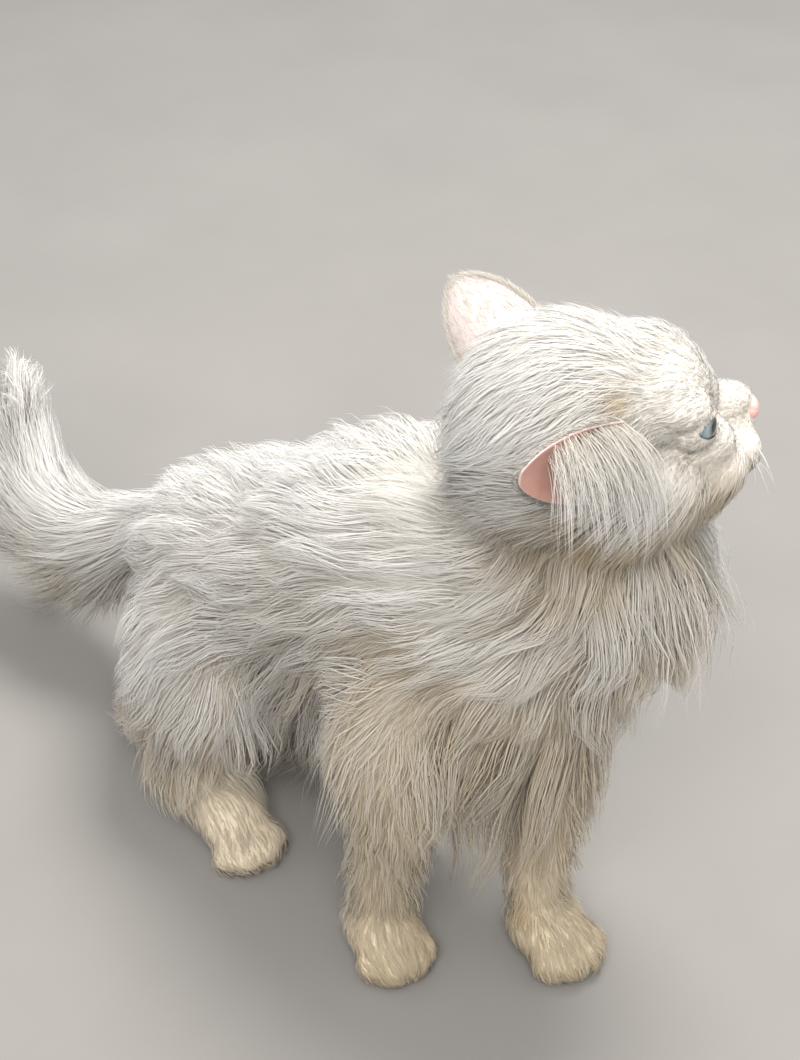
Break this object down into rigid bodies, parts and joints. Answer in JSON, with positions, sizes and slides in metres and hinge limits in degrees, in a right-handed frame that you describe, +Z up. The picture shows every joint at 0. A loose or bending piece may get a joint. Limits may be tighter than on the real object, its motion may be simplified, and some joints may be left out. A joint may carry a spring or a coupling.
{
  "type": "persian cat",
  "caption": "Long-haired white cat, life size, standing with lowered haunches, head turned to its left and plumed tail curled up behind.",
  "frame": {"origin": "middle of the whole cat's outline on the floor, at the height of the soles", "axes": "+X from the tail towards the chest, +Y to the cat's left, +Z up from the floor"},
  "size_m": [0.5698, 0.2083, 0.3988],
  "materials": {
    "coat": "long soft fur, matte, cool white with warmer cream between the locks",
    "ear_skin": "thin pink skin under very short white hair",
    "nose_leather": "soft, slightly moist",
    "eye": "wet, glassy, pale blue iris with a dark pupil"
  },
  "bodies": {
    "root": {"torso": "coat", "neck": "coat", "head": "coat", "ear_right": "ear_skin", "ear_left": "ear_skin", "eye_right": "eye", "eye_left": "eye", "nose": "nose_leather", "foreleg_right": "coat", "foreleg_left": "coat", "forepaw_right": "coat", "forepaw_left": "coat", "thigh_right": "coat", "thigh_left": "coat", "hind_foot_right": "coat", "hind_foot_left": "coat", "tail_base": "coat", "tail_tip": "coat"}
  },
  "joints": []
}
